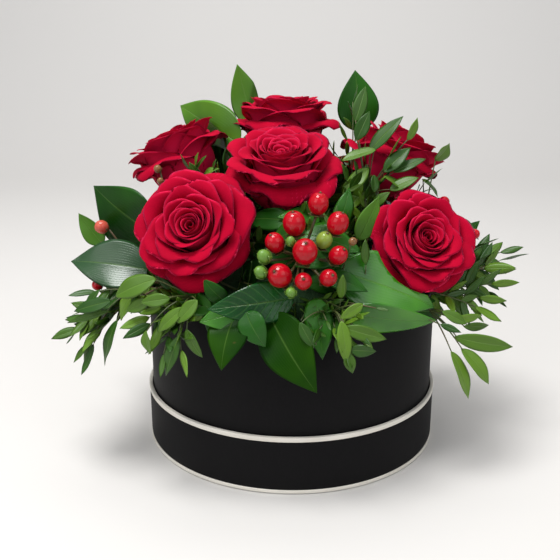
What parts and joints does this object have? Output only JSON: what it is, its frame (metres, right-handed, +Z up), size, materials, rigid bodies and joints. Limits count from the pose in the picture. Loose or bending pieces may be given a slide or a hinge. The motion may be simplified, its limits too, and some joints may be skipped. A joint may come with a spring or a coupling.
{
  "type": "flower box",
  "caption": "Round black hat box standing in its upturned lid, holding wet foam with a dome of red roses, berries and mixed foliage.",
  "frame": {"origin": "centre of the underside of the lid's panel, on the surface that it stands on", "axes": "+Z up through the centre of the box; -Y towards the front, where the berries are; +X to the right seen from the front"},
  "size_m": [0.3057, 0.2393, 0.249],
  "materials": {
    "black_card": "matte",
    "cream_card": "matte",
    "liner_film": "gloss",
    "floral_foam": "matte",
    "rose_petal": "matte",
    "green_stem": "satin",
    "red_berry": "gloss",
    "green_berry": "gloss",
    "broad_leaf": "satin",
    "small_leaflet": "satin"
  },
  "bodies": {
    "lid": {"lid_panel": "black_card", "lid_panel_trim": "cream_card", "lid_rim": "black_card", "lid_rim_trim": "cream_card"},
    "box": {"box_wall": "black_card", "box_base": "black_card"},
    "insert": {"liner": "liner_film", "foam_block": "floral_foam", "leaf_back_left": "broad_leaf", "leaf_top_left": "broad_leaf", "leaf_back_right": "broad_leaf", "leaf_left_upper": "broad_leaf", "leaf_left_lower": "broad_leaf", "leaf_salal": "broad_leaf", "leaf_front_tuck": "broad_leaf", "leaf_hang_left": "broad_leaf", "leaf_hang_centre": "broad_leaf", "leaf_big_right": "broad_leaf", "leaf_under_right": "broad_leaf", "leaf_gap_right": "broad_leaf", "leaf_right": "broad_leaf", "leaf_back_hang": "broad_leaf", "leaf_back_rise": "broad_leaf", "leaf_side_left": "broad_leaf", "leaf_side_right": "broad_leaf", "spray_left_low": "small_leaflet", "spray_front_left": "small_leaflet", "spray_front_centre": "small_leaflet", "spray_right_low": "small_leaflet", "spray_right_side": "small_leaflet", "spray_top_right": "small_leaflet", "spray_back_left": "small_leaflet", "spray_back_right": "small_leaflet"},
    "berries": {"berry_branch": "green_stem", "berry_upper_left": "red_berry", "berry_top": "red_berry", "berry_upper_right": "red_berry", "berry_left": "red_berry", "berry_middle": "red_berry", "berry_lower_left": "red_berry", "berry_bottom": "red_berry", "berry_lower_right": "red_berry", "berry_right": "red_berry", "berry_green": "green_berry"},
    "rose_top": {"rose_top_bloom": "rose_petal", "rose_top_stem": "green_stem"},
    "rose_centre": {"rose_centre_bloom": "rose_petal", "rose_centre_stem": "green_stem"},
    "rose_left": {"rose_left_bloom": "rose_petal", "rose_left_stem": "green_stem"},
    "rose_right": {"rose_right_bloom": "rose_petal", "rose_right_stem": "green_stem"},
    "rose_front_left": {"rose_front_left_bloom": "rose_petal", "rose_front_left_stem": "green_stem"},
    "rose_front_right": {"rose_front_right_bloom": "rose_petal", "rose_front_right_stem": "green_stem"},
    "rose_back_left": {"rose_back_left_bloom": "rose_petal", "rose_back_left_stem": "green_stem"},
    "rose_back_right": {"rose_back_right_bloom": "rose_petal", "rose_back_right_stem": "green_stem"}
  },
  "joints": [
    {"name": "box_lift", "type": "slide", "parent": "lid", "child": "box", "axis": [0, 0, 1], "range_m": [0, 0.06]},
    {"name": "insert_lift", "type": "slide", "parent": "box", "child": "insert", "axis": [0, 0, 1], "range_m": [0, 0.12]},
    {"name": "rose_top_pull", "type": "slide", "parent": "insert", "child": "rose_top", "axis": [0, 0.0523, 0.9986], "range_m": [0, 0.06]},
    {"name": "rose_centre_pull", "type": "slide", "parent": "insert", "child": "rose_centre", "axis": [-0.0131, -0.3744, 0.9272], "range_m": [0, 0.06]},
    {"name": "rose_left_pull", "type": "slide", "parent": "insert", "child": "rose_left", "axis": [-0.4405, 0.1098, 0.891], "range_m": [0, 0.06]},
    {"name": "rose_right_pull", "type": "slide", "parent": "insert", "child": "rose_right", "axis": [0.4082, 0.1094, 0.9063], "range_m": [0, 0.06]},
    {"name": "rose_front_left_pull", "type": "slide", "parent": "insert", "child": "rose_front_left", "axis": [-0.2241, -0.8365, 0.5], "range_m": [0, 0.06]},
    {"name": "rose_front_right_pull", "type": "slide", "parent": "insert", "child": "rose_front_right", "axis": [0.2562, -0.7885, 0.5592], "range_m": [0, 0.06]},
    {"name": "rose_back_left_pull", "type": "slide", "parent": "insert", "child": "rose_back_left", "axis": [-0.4815, 0.6627, 0.5736], "range_m": [0, 0.06]},
    {"name": "rose_back_right_pull", "type": "slide", "parent": "insert", "child": "rose_back_right", "axis": [0.4581, 0.6791, 0.5736], "range_m": [0, 0.06]},
    {"name": "berries_pull", "type": "slide", "parent": "insert", "child": "berries", "axis": [0.0505, -0.8412, 0.5384], "range_m": [0, 0.06]}
  ]
}
